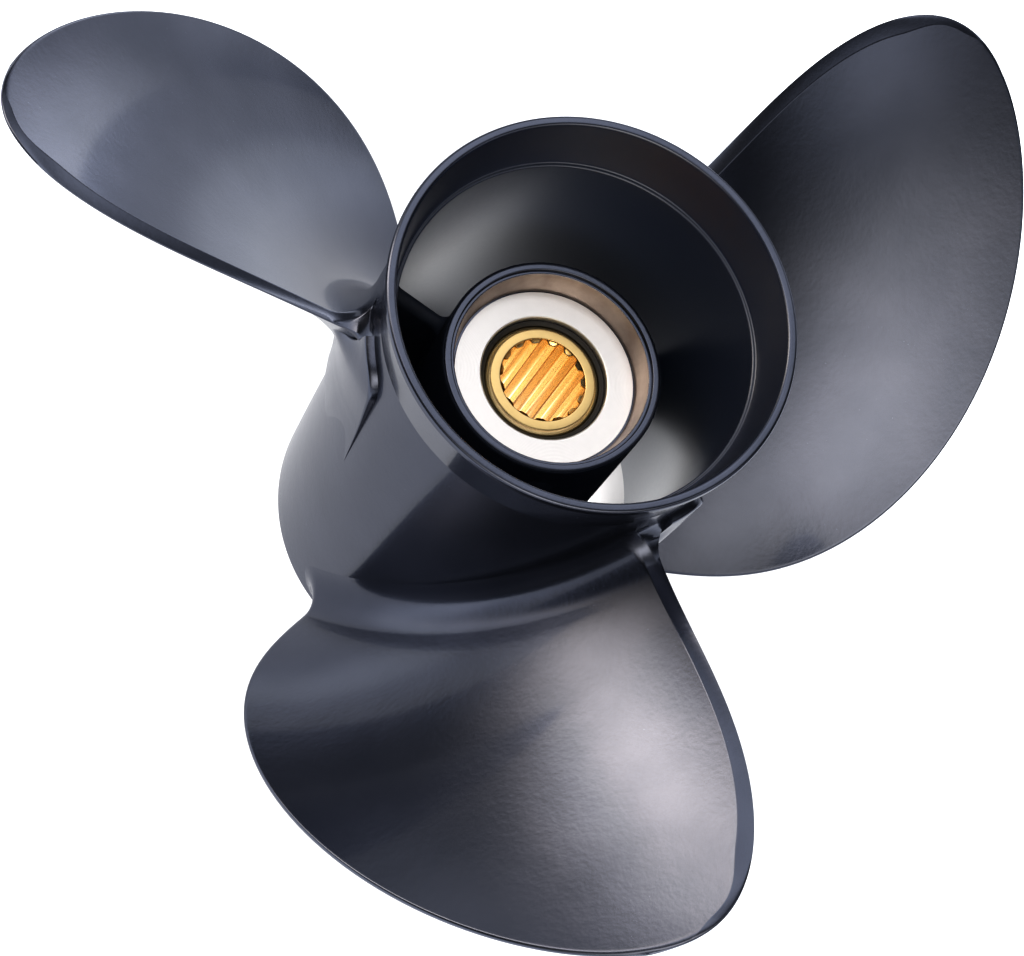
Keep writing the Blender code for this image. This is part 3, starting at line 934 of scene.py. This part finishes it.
def rough_cast_shaded_material():
    made, nodes, links, shader, where = node_material("rough_casting_painted_shade")
    grain = noise(nodes, links, where, scale=420.0, detail=3.0)
    # Painted shade: the casting's colours are darker than the paint, for the tube and ribs in the
    # barrel's shade.
    colour_by(nodes, links, shader, grain, CAST_SHADE_COLOURS)
    roughness_by(nodes, links, shader, grain, CAST_ROUGHNESS)
    normal = bump(nodes, links, grain, strength=0.15, distance=0.3 * MM)
    links.new(normal, shader.inputs["Normal"])
    set_shader(shader, Specular_IOR_Level=0.25)
    return made


def machined_material():
    """Turned metal: its marks are rings on a flat face, and on a bore."""
    made, nodes, links, shader, where = node_material("turned_aluminium")
    distance, height = from_axis(nodes, links, where)
    path = math_node(nodes, links, "ADD", distance, height)
    path = math_node(nodes, links, "MULTIPLY", path, TURNING_MARKS)
    marks = math_node(nodes, links, "SINE", path)
    normal = bump(nodes, links, marks, strength=0.25, distance=0.03 * MM)
    links.new(normal, shader.inputs["Normal"])
    smudge = noise(nodes, links, where, scale=160.0, detail=3.0)
    colour_by(nodes, links, shader, smudge, TURNED_COLOURS)
    roughness_by(nodes, links, shader, smudge, TURNED_ROUGHNESS)
    set_shader(shader, Metallic=0.9)
    return made


def worn_material():
    made, nodes, links, shader, where = node_material("worn_aluminium_painted_reflection")
    smear = noise(nodes, links, where, scale=140.0, detail=4.0)
    # Worn bare metal with a brown tint that is a painted reflection.
    colour_by(nodes, links, shader, smear, WORN_AND_REFLECTION_COLOURS)
    roughness_by(nodes, links, shader, smear, WORN_ROUGHNESS)
    normal = bump(nodes, links, smear, strength=0.1, distance=0.3 * MM)
    links.new(normal, shader.inputs["Normal"])
    set_shader(shader, Metallic=0.85)
    return made


def brass_material():
    made, nodes, links, shader, where = node_material("broached_brass_groove_shade")
    distance, _ = from_axis(nodes, links, where)
    # Painted shade: the brass darkens from the tips of the teeth into the grooves at their roots.
    colour = ramp(nodes, links, step(nodes, links, distance, *BRASS_GROOVE_SHADE_RADII), BRASS_GROOVE_SHADE_COLOURS)
    links.new(colour, shader.inputs["Base Color"])
    tarnish = noise(nodes, links, where, scale=260.0, detail=3.0)
    roughness_by(nodes, links, shader, tarnish, BRASS_ROUGHNESS)
    scratch = noise(nodes, links, where, scale=900.0)
    normal = bump(nodes, links, scratch, strength=0.06, distance=0.1 * MM)
    links.new(normal, shader.inputs["Normal"])
    set_shader(shader, Metallic=1.0)
    return made


def brass_face_material():
    made, nodes, links, shader, where = node_material("turned_brass_painted_shade")
    tarnish = noise(nodes, links, where, scale=300.0, detail=3.0)
    # Painted shade: the turned face is coloured as a darker copy of the brass.
    colour_by(nodes, links, shader, tarnish, BRASS_FACE_SHADE_COLOURS)
    roughness_by(nodes, links, shader, tarnish, BRASS_FACE_ROUGHNESS)
    set_shader(shader, Metallic=1.0)
    return made


def rubber_material():
    made, nodes, links, shader, where = node_material("black_rubber")
    grain = noise(nodes, links, where, scale=700.0, detail=3.0)
    colour_by(nodes, links, shader, grain, RUBBER_COLOURS)
    roughness_by(nodes, links, shader, grain, RUBBER_ROUGHNESS)
    normal = bump(nodes, links, grain, strength=0.2, distance=0.2 * MM)
    links.new(normal, shader.inputs["Normal"])
    return made


def floor_material():
    """A pale floor that glows by distance, with painted shade under the barrel and a painted
    shadow at its foot.
    """
    made, nodes, links, shader, where = node_material("white_floor")
    mottle = noise(nodes, links, where, scale=3.0)
    colour_by(nodes, links, shader, mottle, FLOOR_COLOURS)

    # Little light comes up through the barrel: only along its far side is the floor left bright.
    radial = measure_node(nodes, links, "LENGTH", where)
    x, y, _ = separate(nodes, links, where)
    outside = step(nodes, links, radial, *UNDER_BARREL)
    far = step(nodes, links, x, *UNDER_FAR_SIDE)
    left = step(nodes, links, y, *UNDER_LEFT_SIDE)
    bore = step(nodes, links, radial, *UNDER_BORE)
    patch = math_node(nodes, links, "MULTIPLY", far, left)
    shown = math_node(nodes, links, "MAXIMUM", outside, patch)
    shown = math_node(nodes, links, "MAXIMUM", shown, bore)

    # The barrel shades the floor at its foot, on the side that the blades hide from the camera.
    offset = measure_node(nodes, links, "DISTANCE", where, FOOT_SHADE_CENTRE)
    clear = step(nodes, links, offset, *FOOT_SHADE_R)
    lit = math_node(nodes, links, "MULTIPLY", shown, clear)

    glow = nodes.new("ShaderNodeMix")
    glow.data_type = "RGBA"
    glow.inputs["A"].default_value = UNDER_SHADE_GLOW
    reach = step(nodes, links, radial, 0.0, FLOOR_REACH)
    links.new(ramp(nodes, links, reach, FLOOR_GLOW), glow.inputs["B"])
    links.new(lit, glow.inputs["Factor"])
    links.new(glow.outputs["Result"], shader.inputs["Emission Color"])
    set_shader(shader, Roughness=0.9, Specular_IOR_Level=0.0, Emission_Strength=1.0)
    return made


# Setting


def floor():
    corners = [(-1, -1), (1, -1), (1, 1), (-1, 1)]
    verts = [(x * FLOOR_HALF, y * FLOOR_HALF, -FLOOR_DROP) for x, y in corners]
    obj = new_object("floor", verts, [(0, 1, 2, 3)], [floor_material()])


def direction(azimuth, elevation):
    az, el = math.radians(azimuth), math.radians(elevation)
    return (math.cos(el) * math.cos(az), math.cos(el) * math.sin(az), math.sin(el))


def world():
    """A dark studio with soft lights, each fading out from its middle.

    A round light is strength * exp(sharpness * (cosine - 1)), by the cosine of the angle from
    its middle. An oval one also fades with the square of the distance along its short way.
    """
    made = bpy.data.worlds.new("studio")
    made.use_nodes = True
    nodes, links = made.node_tree.nodes, made.node_tree.links
    seen = nodes.new("ShaderNodeTexCoord").outputs["Generated"]
    total = (0.0, 0.0, 0.0)
    for azimuth, elevation, width, height, strength, tint in SOFT_LIGHTS:
        sharpness = 1 / math.radians(max(width, height)) ** 2
        narrowing = (1 / math.radians(min(width, height)) ** 2 - sharpness) / 2
        cosine = measure_node(nodes, links, "DOT_PRODUCT", seen, direction(azimuth, elevation))
        peak = math.log(strength) - sharpness
        power = math_node(nodes, links, "MULTIPLY_ADD", cosine, sharpness, peak)
        if narrowing > 0:
            upward, sideways = direction(azimuth, elevation + 90), direction(azimuth + 90, 0)
            short_way = upward if height < width else sideways
            offset = measure_node(nodes, links, "DOT_PRODUCT", seen, short_way)
            squared = math_node(nodes, links, "MULTIPLY", offset, offset)
            power = math_node(nodes, links, "MULTIPLY_ADD", squared, -narrowing, power)
        glow = math_node(nodes, links, "EXPONENT", power)
        total = vector_node(nodes, links, "MULTIPLY_ADD", glow, tint, total)
    links.new(total, nodes["Background"].inputs["Color"])
    bpy.context.scene.world = made


def camera():
    """The photo's camera, and the exposure and contrast of its picture."""
    data = bpy.data.cameras.new("photo_camera")
    data.sensor_width = SENSOR_MM
    data.lens = CAMERA_LENS_MM
    data.clip_start = CAMERA_CLIP
    obj = bpy.data.objects.new("photo_camera", data)
    facing = (CAMERA_TARGET - CAMERA_AT).to_track_quat("-Z", "Y")
    roll = Quaternion((0.0, 0.0, 1.0), CAMERA_ROLL)
    obj.location = CAMERA_AT
    obj.rotation_mode = "QUATERNION"
    obj.rotation_quaternion = facing @ roll
    bpy.context.scene.collection.objects.link(obj)
    bpy.context.scene.camera = obj
    view = bpy.context.scene.view_settings
    view.view_transform = "Standard"
    view.exposure = VIEW_EXPOSURE
    view.gamma = VIEW_GAMMA


def main():
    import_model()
    paint, machined, shaded_rough_cast = paint_material(), machined_material(), rough_cast_shaded_material()

    barrel = turned("barrel_casting", barrel_corners(), [paint, machined, inside_material()])
    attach(barrel, "root")
    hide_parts("outer_barrel", "flare_ring")

    tube = turned("hub_tube", tube_corners(), [paint, machined, worn_material(), shaded_rough_cast])
    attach(tube, "root")
    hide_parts("inner_hub")

    bush = turned("rubber_ring", bush_corners(), [rubber_material()], steps=BUSH_STEPS)
    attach(bush, "root")
    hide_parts("rubber_bush")

    toothed = sleeve([brass_material(), brass_face_material()])
    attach(toothed, "root")
    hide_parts("spline_sleeve")

    for number in range(RIB_COUNT):
        web = rib(number, shaded_rough_cast)
        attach(web, "root")
        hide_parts(f"rib_{number + 1}")

    for number in range(BLADE_COUNT):
        skin = blade(number, paint)
        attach(skin, "root")
        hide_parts(f"blade_{number + 1}")
        pad = root_pad(number, paint)
        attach(pad, "root")

    floor()
    world()
    camera()


main()
